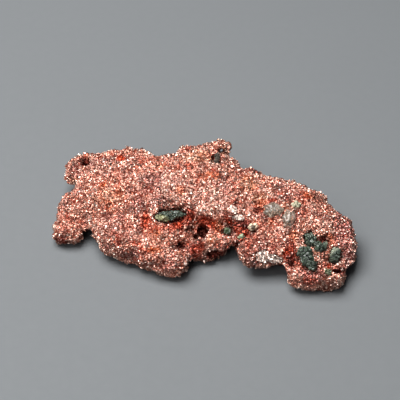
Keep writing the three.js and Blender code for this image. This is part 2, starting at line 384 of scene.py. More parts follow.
# ---------------------------------------------------------------- finishes
class NodeKit:
    """Short ways to add and join shader nodes in one material."""

    def __init__(self, name: str) -> None:
        """Starts a material that holds one Principled shader.

        Args:
            name: Name of the material.
        """
        self.material = bpy.data.materials.new(name)
        self.material.use_nodes = True
        self.tree = self.material.node_tree
        self.shader = self.tree.nodes["Principled BSDF"]
        self.place = self.add("ShaderNodeTexCoord").outputs["Object"]

    def add(self, kind: str, **settings: object) -> bpy.types.Node:
        """Adds a node and sets its plain properties.

        Args:
            kind: Blender's name for the node type.
            **settings: Properties to set on it.

        Returns:
            The new node.
        """
        node = self.tree.nodes.new(kind)
        for key, value in settings.items():
            setattr(node, key, value)
        return node

    def link(self, output: bpy.types.NodeSocket, socket: bpy.types.NodeSocket) -> None:
        """Joins an output to an input."""
        self.tree.links.new(output, socket)

    def noise(self, pitch: float, detail: float = 2.0) -> bpy.types.NodeSocket:
        """Adds soft noise.

        Args:
            pitch: Distance over which it changes.
            detail: How many finer layers it has.

        Returns:
            Its output, about 0 to 1.
        """
        node = self.add("ShaderNodeTexNoise")
        node.inputs["Scale"].default_value = 1.0 / pitch
        node.inputs["Detail"].default_value = detail
        self.link(self.place, node.inputs["Vector"])
        return node.outputs["Fac"]

    def grains(self, pitch: float) -> bpy.types.NodeSocket:
        """Adds a pattern of grains, each with one random grey.

        Args:
            pitch: Usual size of a grain.

        Returns:
            Its output, 0 to 1.
        """
        node = self.add("ShaderNodeTexVoronoi")
        node.inputs["Scale"].default_value = 1.0 / pitch
        self.link(self.place, node.inputs["Vector"])
        split = self.add("ShaderNodeSeparateColor")
        self.link(node.outputs["Color"], split.inputs["Color"])
        return split.outputs["Red"]

    def ramp(self, value: bpy.types.NodeSocket, stops: list[tuple[float, Colour]]) -> bpy.types.NodeSocket:
        """Turns a value into a colour.

        Args:
            value: The value, 0 to 1.
            stops: Two places along the ramp and the colour at each.

        Returns:
            The colour output.
        """
        node = self.add("ShaderNodeValToRGB")
        for element, (place, colour) in zip(node.color_ramp.elements, stops, strict=True):
            element.position = place
            element.color = (*colour, 1.0)
        self.link(value, node.inputs["Fac"])
        return node.outputs["Color"]

    def spread(self, value: bpy.types.NodeSocket, low: float, high: float) -> bpy.types.NodeSocket:
        """Stretches a value from 0 and 1 to new limits.

        Args:
            value: The value, 0 to 1.
            low: What 0 becomes.
            high: What 1 becomes.

        Returns:
            The stretched output.
        """
        node = self.add("ShaderNodeMapRange")
        node.inputs["To Min"].default_value = low
        node.inputs["To Max"].default_value = high
        self.link(value, node.inputs["Value"])
        return node.outputs["Result"]

    def colour(self, first: bpy.types.NodeSocket, second: bpy.types.NodeSocket) -> None:
        """Gives the shader the product of two colours.

        Args:
            first: The one colour.
            second: The other colour.
        """
        node = self.add("ShaderNodeMix", data_type="RGBA", blend_type="MULTIPLY")
        node.inputs["Factor"].default_value = 1.0
        self.link(first, node.inputs["A"])
        self.link(second, node.inputs["B"])
        self.link(node.outputs["Result"], self.shader.inputs["Base Color"])

    def roughen(self, pitch: float, low: float, high: float) -> None:
        """Gives the shader a roughness that drifts.

        Args:
            pitch: Distance over which it changes.
            low: Lowest roughness.
            high: Highest roughness.
        """
        self.link(self.spread(self.noise(pitch), low, high), self.shader.inputs["Roughness"])

    def facets(self, pitch: float) -> bpy.types.NodeSocket:
        """Adds a relief of small flat facets, each tilted its own way.

        Args:
            pitch: Usual size of a facet.

        Returns:
            Its height, about -1 to 1.
        """
        scaled = self.add("ShaderNodeVectorMath", operation="SCALE")
        scaled.inputs["Scale"].default_value = 1.0 / pitch
        self.link(self.place, scaled.inputs[0])
        cells = self.add("ShaderNodeTexVoronoi")
        cells.inputs["Scale"].default_value = 1.0
        self.link(scaled.outputs[0], cells.inputs["Vector"])
        away = self.add("ShaderNodeVectorMath", operation="SUBTRACT")
        self.link(scaled.outputs[0], away.inputs[0])
        self.link(cells.outputs["Position"], away.inputs[1])
        tilt = self.add("ShaderNodeVectorMath", operation="SUBTRACT")
        self.link(cells.outputs["Color"], tilt.inputs[0])
        tilt.inputs[1].default_value = (0.5, 0.5, 0.5)
        height = self.add("ShaderNodeVectorMath", operation="DOT_PRODUCT")
        self.link(away.outputs[0], height.inputs[0])
        self.link(tilt.outputs[0], height.inputs[1])
        return height.outputs["Value"]

    def bump(self, height: bpy.types.NodeSocket, depth: float, strength: float) -> None:
        """Gives the shader a fine relief.

        Args:
            height: The relief, 0 to 1.
            depth: Its depth.
            strength: How much of it shows.
        """
        node = self.add("ShaderNodeBump")
        node.inputs["Distance"].default_value = depth
        node.inputs["Strength"].default_value = strength
        self.link(height, node.inputs["Height"])
        self.link(node.outputs["Normal"], self.shader.inputs["Normal"])

    def layer(self, name: str) -> bpy.types.NodeSocket:
        """Reads a colour layer that is stored on the mesh."""
        return self.add("ShaderNodeVertexColor", layer_name=name).outputs["Color"]


@dataclass(frozen=True)
class CopperFinish:
    """Bare crystalline copper whose own colour is stored on the mesh.

    Attributes:
        name: Name of the material.
        grain: Size of the grains that its shade changes over.
        facet: Size of its finest facets.
        relief: How strongly the finest facets are tilted.
        roughness: Lowest and highest roughness.
        shaded: What the darkest grains' colour is multiplied by.
        unshaded_from: Share of the way from dark grains to bright ones at which the shading ends.
        drift: Distance over which the roughness changes.
        edge: Tint of what it mirrors at a glancing angle.
    """

    name: str = "crystalline_copper"
    grain: float = 0.32 * MM
    facet: float = 0.27 * MM
    relief: float = 0.9
    roughness: tuple[float, float] = (0.24, 0.5)
    shaded: Colour = (0.6, 0.36, 0.28)
    unshaded_from: float = 0.55
    drift: float = 1.1 * MM
    edge: Colour = (1.0, 0.55, 0.42)

    def material(self) -> bpy.types.Material:
        """Makes the material."""
        kit = NodeKit(self.name)
        kit.colour(
            kit.layer(TINT),
            kit.ramp(kit.grains(self.grain), [(0.0, self.shaded), (self.unshaded_from, WHITE)]),
        )
        kit.roughen(self.drift, *self.roughness)
        kit.shader.inputs["Metallic"].default_value = 1.0
        kit.shader.inputs["Specular Tint"].default_value = (*self.edge, 1.0)
        kit.bump(kit.facets(self.facet), self.facet, self.relief)
        return kit.material


@dataclass(frozen=True)
class MineralFinish:
    """A crystal that isn't metal, with a colour stored on the mesh.

    Attributes:
        name: Name of the material.
        clear: How much light passes through it, 0 to 1.
        roughness: Lowest and highest roughness.
        cloud: Distance over which its shade and roughness change.
        shaded: What the colour of the darkest clouds is multiplied by.
        shading: Where the shading is full and where it ends, from dark clouds at 0 to bright ones at 1.
        detail: How many finer layers the clouds and the ripples have.
        bending: How much it bends light, as a refractive index.
        ripple: Depth and pitch of its finest relief.
        relief: How much of the finest relief shows.
    """

    name: str
    clear: float
    roughness: tuple[float, float]
    cloud: float = 0.4 * MM
    shaded: Colour = (0.4, 0.4, 0.4)
    shading: tuple[float, float] = (0.35, 0.62)
    detail: float = 3.0
    bending: float = 1.57
    ripple: tuple[float, float] = (0.03 * MM, 0.2 * MM)
    relief: float = 0.4

    def material(self) -> bpy.types.Material:
        """Makes the material."""
        kit = NodeKit(self.name)
        full, end = self.shading
        clouds = kit.noise(self.cloud, self.detail)
        kit.colour(kit.layer(TINT), kit.ramp(clouds, [(full, self.shaded), (end, WHITE)]))
        kit.roughen(self.cloud, *self.roughness)
        kit.shader.inputs["IOR"].default_value = self.bending
        kit.shader.inputs["Transmission Weight"].default_value = self.clear
        depth, pitch = self.ripple
        kit.bump(kit.noise(pitch, self.detail), depth, self.relief)
        return kit.material


@dataclass(frozen=True)
class FloorFinish:
    """A matt pale grey table top.

    Attributes:
        name: Name of the material.
        colour: Its grey.
        fade: What the grey of its darkest clouds is multiplied by.
        fading: Where the fading is full and where it ends, from dark clouds at 0 to bright ones at 1.
        cloud: Distance over which its grey changes.
        roughness: Lowest and highest roughness.
        drift: Distance over which the roughness changes.
        grit: Depth and pitch of its finest relief.
        relief: How much of the finest relief shows.
    """

    name: str = "pale_floor"
    colour: Colour = (0.1005, 0.1068, 0.1113)
    fade: float = 0.985
    fading: tuple[float, float] = (0.3, 0.7)
    cloud: float = 30.0 * MM
    roughness: tuple[float, float] = (0.75, 0.9)
    drift: float = 2.0 * MM
    grit: tuple[float, float] = (0.02 * MM, 0.6 * MM)
    relief: float = 0.1

    def material(self) -> bpy.types.Material:
        """Makes the material."""
        kit = NodeKit(self.name)
        faded = tuple(self.fade * part for part in self.colour)
        full, end = self.fading
        shade = kit.ramp(kit.noise(self.cloud), [(full, faded), (end, self.colour)])
        kit.link(shade, kit.shader.inputs["Base Color"])
        kit.roughen(self.drift, *self.roughness)
        depth, pitch = self.grit
        kit.bump(kit.noise(pitch), depth, self.relief)
        return kit.material


# ---------------------------------------------------------------- colours of the metal
class Tone(Enum):
    """Named colours that patches of the metal take; the maroon one is mostly painted shade, and the gap and
    pit ones are painted shade.
    """

    CREAM = (1.0, 0.82, 0.72)
    GOLD = (0.86, 0.58, 0.36)
    SALMON = (0.95, 0.58, 0.46)
    ORANGE = (0.95, 0.33, 0.13)
    SCARLET = (0.9, 0.13, 0.04)
    RED = (0.5, 0.075, 0.035)
    # Maroon, mostly painted shade in hollows, crevices and under ledges.
    MAROON_SHADE = (0.2, 0.045, 0.035)
    ROSE = (0.84, 0.48, 0.47)
    PLUM = (0.44, 0.32, 0.31)
    # Reddened painted shade on the metal between the crystals.
    GAP_SHADE = (0.3, 0.055, 0.03)
    # Near-black painted shade in pits, notches and the deepest hollows.
    PIT_SHADE = (0.07, 0.02, 0.015)


def toward(tints: np.ndarray, tone: Tone, share: np.ndarray) -> np.ndarray:
    """Moves tints towards a tone.

    Args:
        tints: One colour for each point.
        tone: The tone.
        share: How far each one goes, 0 to 1.

    Returns:
        The new tints.
    """
    return tints + (np.array(tone.value) - tints) * share[:, None]


def held(values: np.ndarray) -> np.ndarray:
    """Holds values from 0 to 1."""
    return np.clip(values, 0.0, 1.0)


def litness(tints: np.ndarray, full: float) -> np.ndarray:
    """Tells how far metal is from the near-black painted shade of a pit.

    Args:
        tints: One colour for each point.
        full: Mean of the tint from which it counts as fully lit.

    Returns:
        One share for each point, 0 for black.
    """
    return held(tints.mean(axis=1) / full) ** 2


@dataclass(frozen=True)
class Wash:
    """A tone laid over all of the metal, as strongly as a measure of each place asks.

    Attributes:
        tone: The tone.
        start: Its share where the measure is zero.
        gain: How fast its share grows with the measure.
        amount: What the share is multiplied by once it is held from 0 to 1.
        noise: Seed and pitch of the noise that is the measure, or none if that is how proud the metal is.
    """

    tone: Tone
    start: float
    gain: float
    amount: float
    noise: tuple[Seed, float] | None = None

    def over(self, tints: np.ndarray, points: np.ndarray, proud: np.ndarray) -> np.ndarray:
        """Lays the tone on.

        Args:
            tints: One colour for each corner.
            points: Corners of the metal.
            proud: How far each corner stands proud.

        Returns:
            The new tints.
        """
        measure = proud
        if self.noise:
            seed, pitch = self.noise
            measure = SolidNoise(seed).fractal(points, pitch, CLOUD_LAYERS)
        return toward(tints, self.tone, self.amount * held(self.start + self.gain * measure))


CLOUD_LAYERS = 3
RAGGED_PITCH = 2.2 * MM
CLOUDS = (
    Wash(Tone.CREAM, 0.3, 1.1, 0.6, (Seed.PALE, 1.8 * MM)),
    Wash(Tone.SCARLET, -0.7, 2.0, 0.6, (Seed.RUSTY, 1.6 * MM)),
    Wash(Tone.PLUM, -0.6, 2.0, 0.7, (Seed.DUSKY, 2.2 * MM)),
)
# Painted shade by how proud the metal is: maroon in hollows and near black in the deepest ones; ridges
# paler.
HOLLOW_SHADE_AND_PALE_RIDGES = (
    Wash(Tone.MAROON_SHADE, -0.2, -1.0, 0.6),
    Wash(Tone.PIT_SHADE, -0.8, -0.8, 1.0),
    Wash(Tone.CREAM, -0.2, 1.0, 0.3),
)


@dataclass(frozen=True)
class Spot:
    """A rounded region of space, placed from the middle of a node.

    Attributes:
        offset: Its middle from the middle of the node's box, in millimetres.
        radius: Its half sizes along X, Y and Z, in millimetres.
        near: The node that it is placed from.
    """

    offset: Point
    radius: Point
    near: str = "copper_nugget"

    def reach(self, points: np.ndarray) -> np.ndarray:
        """Gives each point's distance from the middle, 1 being the edge."""
        middle = centre_of(self.near) + np.array(self.offset) * MM
        return np.linalg.norm((points - middle) / (np.array(self.radius) * MM), axis=1)


SLANT = math.sqrt(0.5)  # sine and cosine of 45 degrees


@dataclass(frozen=True)
class Mark:
    """A place on the side that the nugget shows from the front, looked at from above at a slant.

    Attributes:
        at: How far right and how far up it is from the nugget's middle, as seen, in millimetres.
        half: Half its width and half its height, as seen, in millimetres.
        amount: How strong its tone is, or how deep it is in millimetres.
    """

    at: tuple[float, float]
    half: tuple[float, float]
    amount: float

    def spot(self, points: np.ndarray) -> Spot:
        """Finds the place on the metal.

        Args:
            points: Corners of the metal.

        Returns:
            The place where the metal is seen there.
        """
        allowed_beside, cost_beside = 0.4, 30.0
        own = (points - centre_of("copper_nugget")) / MM
        up = SLANT * (own[:, 1] + own[:, 2])
        near = SLANT * (own[:, 2] - own[:, 1])
        beside = np.hypot(own[:, 0] - self.at[0], up - self.at[1])
        seen = int(np.argmax(near - cost_beside * np.maximum(beside - allowed_beside, 0.0)))
        wide, high = self.half
        deep, tall = 1.4 * high, 1.3 * high
        least, least_tall = 0.45, 0.6
        return Spot(tuple(own[seen]), (max(wide, least), max(deep, least), max(tall, least_tall)))

    def share(self, points: np.ndarray, ragged: np.ndarray) -> np.ndarray:
        """Tells how much of the mark's tone each point takes.

        Args:
            points: Corners of the metal.
            ragged: Noise for each corner that frays the mark's edge.

        Returns:
            A share from 0 to the mark's amount for each corner.
        """
        edge, fray, sharpness = 1.2, 0.4, 1.7
        return self.amount * held(sharpness * (edge - self.spot(points).reach(points) + fray * ragged))

    def drop(self, points: np.ndarray) -> np.ndarray:
        """Gives how far each corner sinks, in metres."""
        steepness = 1.5
        return self.amount * MM * held(1.0 - self.spot(points).reach(points) ** 2) ** steepness


# ---------------------------------------------------------------- the metal
@dataclass
class CopperBody:
    """The copper itself: one ragged lump with a crystalline skin.

    Attributes:
        marks: Places of other tones, from the first laid on to the last; the maroon and pit ones are mostly
            painted shade.
        dents: Places that are sunk in.
        faces: Bright faces that the metal is levelled under.
        voxel: Side of a square of the fine mesh.
        inset: How far the skin lies under the crust of crystals.
        swell: Height and pitch of the broad lumps, in metres.
        knot: Height and pitch of the small lumps, in metres.
        grain: Height and pitch of the tilted grain tops, in metres.
        softening: Rounds of averaging that take the solid's own facets away.
        knot_shape: Shares of the small lumps' height: that tilts, that bulges, and that they are sunk by.
        surroundings: Rounds of averaging that a corner's surroundings reach over.
        proud_unit: Height over its surroundings that makes a corner one unit proud.
        dent_fall: Units that a corner is less proud for each millimetre that it is sunk.
        gap_shade: Share of the gap tone, a reddened painted shade, that the metal between the crystals
            takes.
        lit_from: Mean of the tint from which the metal takes all of that share.
    """

    marks: dict[Tone, list[Mark]]
    dents: list[Mark]
    faces: list[GrowthSteps]
    voxel: float = 0.26 * MM
    inset: float = 0.25 * MM
    swell: tuple[float, float] = (0.42 * MM, 3.2 * MM)
    knot: tuple[float, float] = (0.36 * MM, 1.5 * MM)
    grain: tuple[float, float] = (0.16 * MM, 0.8 * MM)
    softening: int = 2
    knot_shape: Point = (0.7, 0.8, 0.6)
    surroundings: int = 14
    proud_unit: float = 0.3 * MM
    dent_fall: float = 1.5
    gap_shade: float = 0.7
    lit_from: float = 0.25
    skin: Skin = field(init=False)
    tints: np.ndarray = field(init=False)
    proud: np.ndarray = field(init=False)

    def shape(self) -> None:
        """Covers the solid node with a fine mesh, roughens it and sinks the dents."""
        skin = remeshed("copper_nugget", self.voxel)
        skin.points = skin.averaged(skin.points, self.softening)
        height, pitch = self.swell
        skin.raise_by(height * SolidNoise(Seed.SWELL).fractal(skin.points, pitch, 2) - self.inset)
        height, pitch = self.knot
        tops, _, inside = SolidNoise(Seed.KNOT).facets(skin.points, pitch)
        tilted, bulged, sunk_by = self.knot_shape
        skin.raise_by(height * (tilted * tops + bulged * inside - sunk_by))
        sunk = np.zeros(len(skin.points))
        for dent in self.dents:
            sunk = np.maximum(sunk, dent.drop(skin.points))
        skin.raise_by(-sunk)
        height, pitch = self.grain
        tops, _, _ = SolidNoise(Seed.GRAIN).facets(skin.points, pitch)
        skin.raise_by(height * tops)
        for face in self.faces:
            skin.points = face.pared(skin.points)
        self.skin = skin
        self.proud = skin.proudness(self.surroundings) / self.proud_unit - self.dent_fall * sunk / MM

    def colour(self) -> None:
        """Works out the tint of each corner from the marks, the hollows and noise; the hollows get painted
        shade.
        """
        points = self.skin.points
        ragged = SolidNoise(Seed.RAGGED).fractal(points, RAGGED_PITCH, CLOUD_LAYERS)
        tints = np.tile(np.array(Tone.SALMON.value), (len(points), 1))
        for wash in CLOUDS:
            tints = wash.over(tints, points, self.proud)
        for tone, marks in self.marks.items():
            for mark in marks:
                tints = toward(tints, tone, mark.share(points, ragged))
        for wash in HOLLOW_SHADE_AND_PALE_RIDGES:
            tints = wash.over(tints, points, self.proud)
        self.tints = tints

    def build(self, material: bpy.types.Material) -> bpy.types.Object:
        """Builds the metal and rides it on the root body.

        Args:
            material: The metal's finish.

        Returns:
            The finished piece.
        """
        self.shape()
        self.colour()
        made = self.skin.piece("copper_metal", material)
        # The metal between the crystals is darkened towards the gap tone as painted shade, less where it is
        # already near black.
        gap_shade_share = self.gap_shade * litness(self.tints, self.lit_from)
        paint(made, TINT, toward(self.tints, Tone.GAP_SHADE, gap_shade_share))
        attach(made, ROOT)
        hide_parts("copper_nugget")
        return made


class Habit(Enum):
    """Shapes that small copper crystals grow in."""

    CUBE = "cube"
    OCTAHEDRON = "octahedron"
    SHARD = "shard"

    def unit(self) -> tuple[np.ndarray, np.ndarray]:
        """Gives the corners, one unit from the middle, and the triangles."""
        if self is Habit.CUBE:
            ends = (-1, 1)
            corners = np.array([[x, y, z] for x in ends for y in ends for z in ends]) / math.sqrt(3)
            squares = [(0, 1, 3, 2), (4, 6, 7, 5), (0, 4, 5, 1), (2, 3, 7, 6), (0, 2, 6, 4), (1, 5, 7, 3)]
            triangles = [half for a, b, c, d in squares for half in ((a, b, c), (a, c, d))]
            return corners, np.array(triangles)
        sides = 4 if self is Habit.OCTAHEDRON else 3
        turns = [2 * math.pi * k / sides for k in range(sides)]
        girdle = [[math.cos(turn), math.sin(turn), 0.0] for turn in turns]
        upper = [(k, (k + 1) % sides, sides) for k in range(sides)]
        lower = [(b, a, sides + 1) for a, b, _ in upper]
        return np.array([*girdle, [0.0, 0.0, 1.0], [0.0, 0.0, -1.0]]), np.array(upper + lower)


@dataclass
class CrystalCrust:
    """Small copper crystals crowded over one region of the metal.

    Attributes:
        name: Name of the piece.
        where: Tells which faces carry them, from their middles, proudness and outward directions.
        seed: Picks the random places and turns.
        per_area: Crystals for each square metre.
        radius: Smallest and largest half size, in metres.
        lift: Lowest and highest place of a crystal's middle over the skin, in its half sizes.
        bare: Places without crystals.
        crowding: Share of the crystals that fit where the metal isn't proud or sunk, before it is held to 1.
        least_crowding: Share of them that fit in the deepest hollows.
        lit_from: Mean of the metal's tint from which it carries all that fit; fewer grow on darker metal, so
            the painted shade of pits stays bare.
        smallness: How much commoner small crystals are than large ones, 1 being alike.
    """

    name: str
    where: Callable[[np.ndarray, np.ndarray, np.ndarray], np.ndarray]
    seed: int
    per_area: float = 20.0 / MM**2
    radius: tuple[float, float] = (0.08 * MM, 0.22 * MM)
    lift: tuple[float, float] = (-0.3, 0.45)
    bare: list[Spot] = field(default_factory=list)
    crowding: float = 1.7
    least_crowding: float = 0.15
    lit_from: float = 0.12
    smallness: float = 1.7

    def build(self, body: CopperBody, material: bpy.types.Material) -> bpy.types.Object:
        """Scatters the crystals on the metal and joins them in one piece.

        Args:
            body: The metal that carries them.
            material: Their finish.

        Returns:
            The finished piece.
        """
        random = np.random.default_rng(self.seed)
        triangles = body.skin.triangles()
        corners = body.skin.points[triangles]
        proud = body.proud[triangles].mean(axis=1)
        across = np.cross(corners[:, 1] - corners[:, 0], corners[:, 2] - corners[:, 0])
        area = np.linalg.norm(across, axis=1) / 2
        across = across / np.maximum(2 * area, TINY)[:, None]
        centres = corners.mean(axis=1)
        crowding = np.clip(self.crowding + proud, self.least_crowding, 1.0)
        lit = litness(body.tints[triangles[:, 0]], self.lit_from)
        room = area * crowding * lit * self.where(centres, proud, across)
        for bare in self.bare:
            room = room * (bare.reach(centres) > 1.0)
        count = int(room.sum() * self.per_area)
        picked = random.choice(len(room), count, p=room / room.sum())
        outward = across[picked]
        small, large = self.radius
        sizes = small * (large / small) ** (random.random(count) ** self.smallness)
        middles = np.einsum("ij,ijk->ik", random.dirichlet((1.0, 1.0, 1.0), count), corners[picked])
        high = random.random(count)
        low, top = self.lift
        middles = middles + outward * (sizes * (low + (top - low) * high))[:, None]
        tints = self._tints(body.tints[triangles[picked, 0]], high, random)
        points, polygons, colours, offset = [], [], [], 0
        for turn, habit in enumerate(Habit):
            every = slice(turn, None, len(Habit))
            grown, faces = self._grown(habit, middles[every], sizes[every], random)
            points.append(grown.reshape(-1, 3))
            polygons.append(faces + offset)
            colours.append(np.repeat(tints[every], grown.shape[1], axis=0))
            offset += len(points[-1])
        made = Skin(np.concatenate(points), np.concatenate(polygons)).piece(self.name, material)
        paint(made, TINT, np.concatenate(colours))
        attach(made, ROOT)
        return made

    @staticmethod
    def _tints(under: np.ndarray, high: np.ndarray, random: np.random.Generator) -> np.ndarray:
        """Gives each crystal a tint of its own: paler the higher it stands and more often maroon the lower
        it stands, partly by chance, as painted highlight high up and painted shade low down.

        Args:
            under: Tint of the metal under each crystal.
            high: How high each crystal stands, 0 to 1.
            random: Source of the differences.

        Returns:
            One tint for each crystal.
        """
        by_chance, by_depth = 0.55, 0.45
        pale_below, maroon_shade_above = 0.5, 0.66
        most_pale, most_maroon_shade, least_maroon_shade, brightest = 0.75, 0.7, 0.4, 1.3
        darkest_shade, lightest_shade = 0.5, 1.12
        reddening = np.array([1.0, 1.5, 1.7])
        plain_gain, plain_loss = 2.2, 0.25
        maroon_shade_start, maroon_shade_fall = 2.2, 1.2
        # Low crystals lean to maroon as painted shade and high ones to pale as painted highlight, partly by
        # chance.
        kind = by_chance * random.random(len(under)) + by_depth * (1.0 - high)
        plain = held(plain_gain * under[:, 1] / under[:, 0] - plain_loss)
        light = under.mean(axis=1) / np.mean(Tone.SALMON.value)
        pale = np.array(Tone.CREAM.value) * np.clip(light, 0.0, brightest)[:, None]
        tints = under + (pale - under) * np.where(kind < pale_below, most_pale * plain, 0.0)[:, None]
        maroon_shade = most_maroon_shade * np.clip(maroon_shade_start - maroon_shade_fall * light, least_maroon_shade, 1.0)
        tints = toward(tints, Tone.MAROON_SHADE, np.where(kind > maroon_shade_above, maroon_shade, 0.0))
        shade = random.uniform(darkest_shade, lightest_shade, (len(under), 1))
        return held(tints * shade**reddening)

    @staticmethod
    def _grown(
        habit: Habit, middles: np.ndarray, sizes: np.ndarray, random: np.random.Generator
    ) -> tuple[np.ndarray, np.ndarray]:
        """Makes many crystals of one habit, each turned at random.

        Args:
            habit: Their shape.
            middles: Where they sit.
            sizes: Their half sizes.
            random: Source of the turns.

        Returns:
            The corners, crystal by crystal, and the triangles.
        """
        unit, faces = habit.unit()
        least_stretch, most_stretch = 0.8, 1.2
        stretch = random.uniform(least_stretch, most_stretch, (len(middles), 1, 3))
        turns = _random_turns(len(middles), random)
        corners = np.einsum("nij,nkj->nki", turns, unit[None] * stretch)
        corners = middles[:, None] + corners * sizes[:, None, None]
        rows = faces[None] + (np.arange(len(middles)) * len(unit))[:, None, None]
        return corners, rows.reshape(-1, 3)


def _random_turns(count: int, random: np.random.Generator) -> np.ndarray:
    """Makes random rotation matrices.

    Args:
        count: How many.
        random: Source of the numbers.

    Returns:
        One three by three matrix for each.
    """
    q = random.normal(size=(count, 4))
    w, x, y, z = (q / np.linalg.norm(q, axis=1, keepdims=True)).T
    rows = [
        [1 - 2 * (y * y + z * z), 2 * (x * y - z * w), 2 * (x * z + y * w)],
        [2 * (x * y + z * w), 1 - 2 * (x * x + z * z), 2 * (y * z - x * w)],
        [2 * (x * z - y * w), 2 * (y * z + x * w), 1 - 2 * (x * x + y * y)],
    ]
    return np.moveaxis(np.array(rows), 2, 0)


@dataclass(frozen=True)
class GrowthSteps:
    """A bright face of the metal made of narrow parallel steps.

    Attributes:
        spot: Its middle and half sizes: along the steps, across them, and their thickness.
        facing: Direction that the face looks in.
        along: Direction that the steps run in.
        steps: How many steps lie side by side.
        waver: How far a step's tilt differs from the next, in radians.
        seat: Share of the metal under it that keeps its height, in hundredths.
    """

    spot: Spot
    facing: Point
    along: Point
    steps: int
    waver: float = 0.1
    seat: float = 55.0

    def bare(self) -> Spot:
        """Gives the place around it where no small crystals grow."""
        half_long, half_wide, _ = self.spot.radius
        cover, margin = 0.55, 0.15
        half = cover * (half_long + half_wide) + margin
        return Spot(self.spot.offset, (half, half, half), self.spot.near)

    def axes(self) -> np.ndarray:
        """Gives its own directions as rows: along the steps, across them, and outwards."""
        up = Vector(self.facing).normalized()
        side = up.cross(Vector(self.along)).normalized()
        return np.array([side.cross(up), side, up])

    def under(self, points: np.ndarray) -> tuple[np.ndarray, np.ndarray]:
        """Finds the metal under it.

        Args:
            points: Corners of the metal.

        Returns:
            The corners in the face's own directions, and which of them lie under it.
        """
        middle = centre_of(self.spot.near) + np.array(self.spot.offset) * MM
        own = (points - middle) @ self.axes().T
        half_long, half_wide, _ = np.array(self.spot.radius) * MM
        reach = (own[:, 0] / half_long) ** 2 + (own[:, 1] / half_wide) ** 2
        furthest_reach, deepest = 1.4, 1.5 * MM
        return own, (reach < furthest_reach) & (abs(own[:, 2]) < deepest)

    def pared(self, points: np.ndarray) -> np.ndarray:
        """Levels the metal under it.

        Args:
            points: Corners of the metal.

        Returns:
            The corners, with those that stood too high brought down.
        """
        own, inside = self.under(points)
        level = np.percentile(own[inside, 2], self.seat)
        too_high = np.where(inside, np.maximum(own[:, 2] - level, 0.0), 0.0)
        return points - too_high[:, None] * self.axes()[2]

    def grown(self, points: np.ndarray, random: np.random.Generator) -> tuple[np.ndarray, np.ndarray]:
        """Grows the steps on the levelled metal.

        Args:
            points: Corners of the levelled metal.
            random: Source of their unevenness.

        Returns:
            The corners, step by step, and the triangles.
        """
        own, inside = self.under(points)
        half_long, half_wide, half_thick = np.array(self.spot.radius) * MM
        ahead, side, up = self.axes()
        middle = centre_of(self.spot.near) + np.array(self.spot.offset) * MM
        raised, overlap, long_waver = 0.4, 1.5, 0.4 * self.waver
        shortest, end_slip, height_slip = 0.75, 0.15, 0.3
        full_length, rounding = 1.2, 0.8
        middle = middle + up * (own[inside, 2].max() + raised * half_thick)
        unit, faces = Habit.CUBE.unit()
        unit = unit * math.sqrt(3)
        corners = []
        for place in np.linspace(-1.0, 1.0, self.steps):
            tilted = up + side * random.normal(0.0, self.waver) + ahead * random.normal(0.0, long_waver)
            step_up = tilted / np.linalg.norm(tilted)
            step_side = np.cross(step_up, ahead)
            rounded = math.sqrt(full_length - rounding * place * place)
            length = half_long * random.uniform(shortest, 1.0) * rounded
            width = overlap * half_wide / self.steps
            own_axes = np.array([ahead * length, step_side * width, step_up * half_thick])
            shift = side * place * (half_wide - width)
            shift = shift + ahead * random.uniform(-end_slip, end_slip) * half_long
            lift = up * random.uniform(-height_slip, height_slip) * half_thick
            corners.append(middle + shift + lift + unit @ own_axes)
        rows = faces[None] + (np.arange(self.steps) * len(unit))[:, None, None]
        return np.concatenate(corners), rows.reshape(-1, 3)


def build_bright_faces(
    faces: list[GrowthSteps], skin: Skin, material: bpy.types.Material
) -> bpy.types.Object:
    """Builds all bright stepped faces as one piece and rides it on the root body.

    Args:
        faces: The faces.
        skin: The metal that carries them.
        material: Their finish.

    Returns:
        The finished piece.
    """
    random = np.random.default_rng(Seed.BRIGHT_FACES)
    points, polygons, offset = [], [], 0
    for face in faces:
        corners, rows = face.grown(skin.points, random)
        points.append(corners)
        polygons.append(rows + offset)
        offset += len(corners)
    skin = Skin(np.concatenate(points), np.concatenate(polygons))
    made = skin.piece("bright_stepped_faces", material)
    tone = np.tile(np.array(Tone.CREAM.value), (offset, 1))
    step_count = sum(face.steps for face in faces)
    darkest, lightest = 0.25, 0.95
    shades = np.repeat(random.uniform(darkest, lightest, step_count), offset // step_count)
    paint(made, TINT, tone * shades[:, None])
    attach(made, ROOT)
    return made


# ---------------------------------------------------------------- mineral grains
def laid_over(below: np.ndarray, above: Colour, share: np.ndarray) -> np.ndarray:
    """Lays one colour over others.

    Args:
        below: The colour below, or one for each corner.
        above: The colour laid over it.
        share: How much of it each corner takes, 0 to 1.

    Returns:
        One colour for each corner.
    """
    return below * (1 - share[:, None]) + np.array(above) * share[:, None]


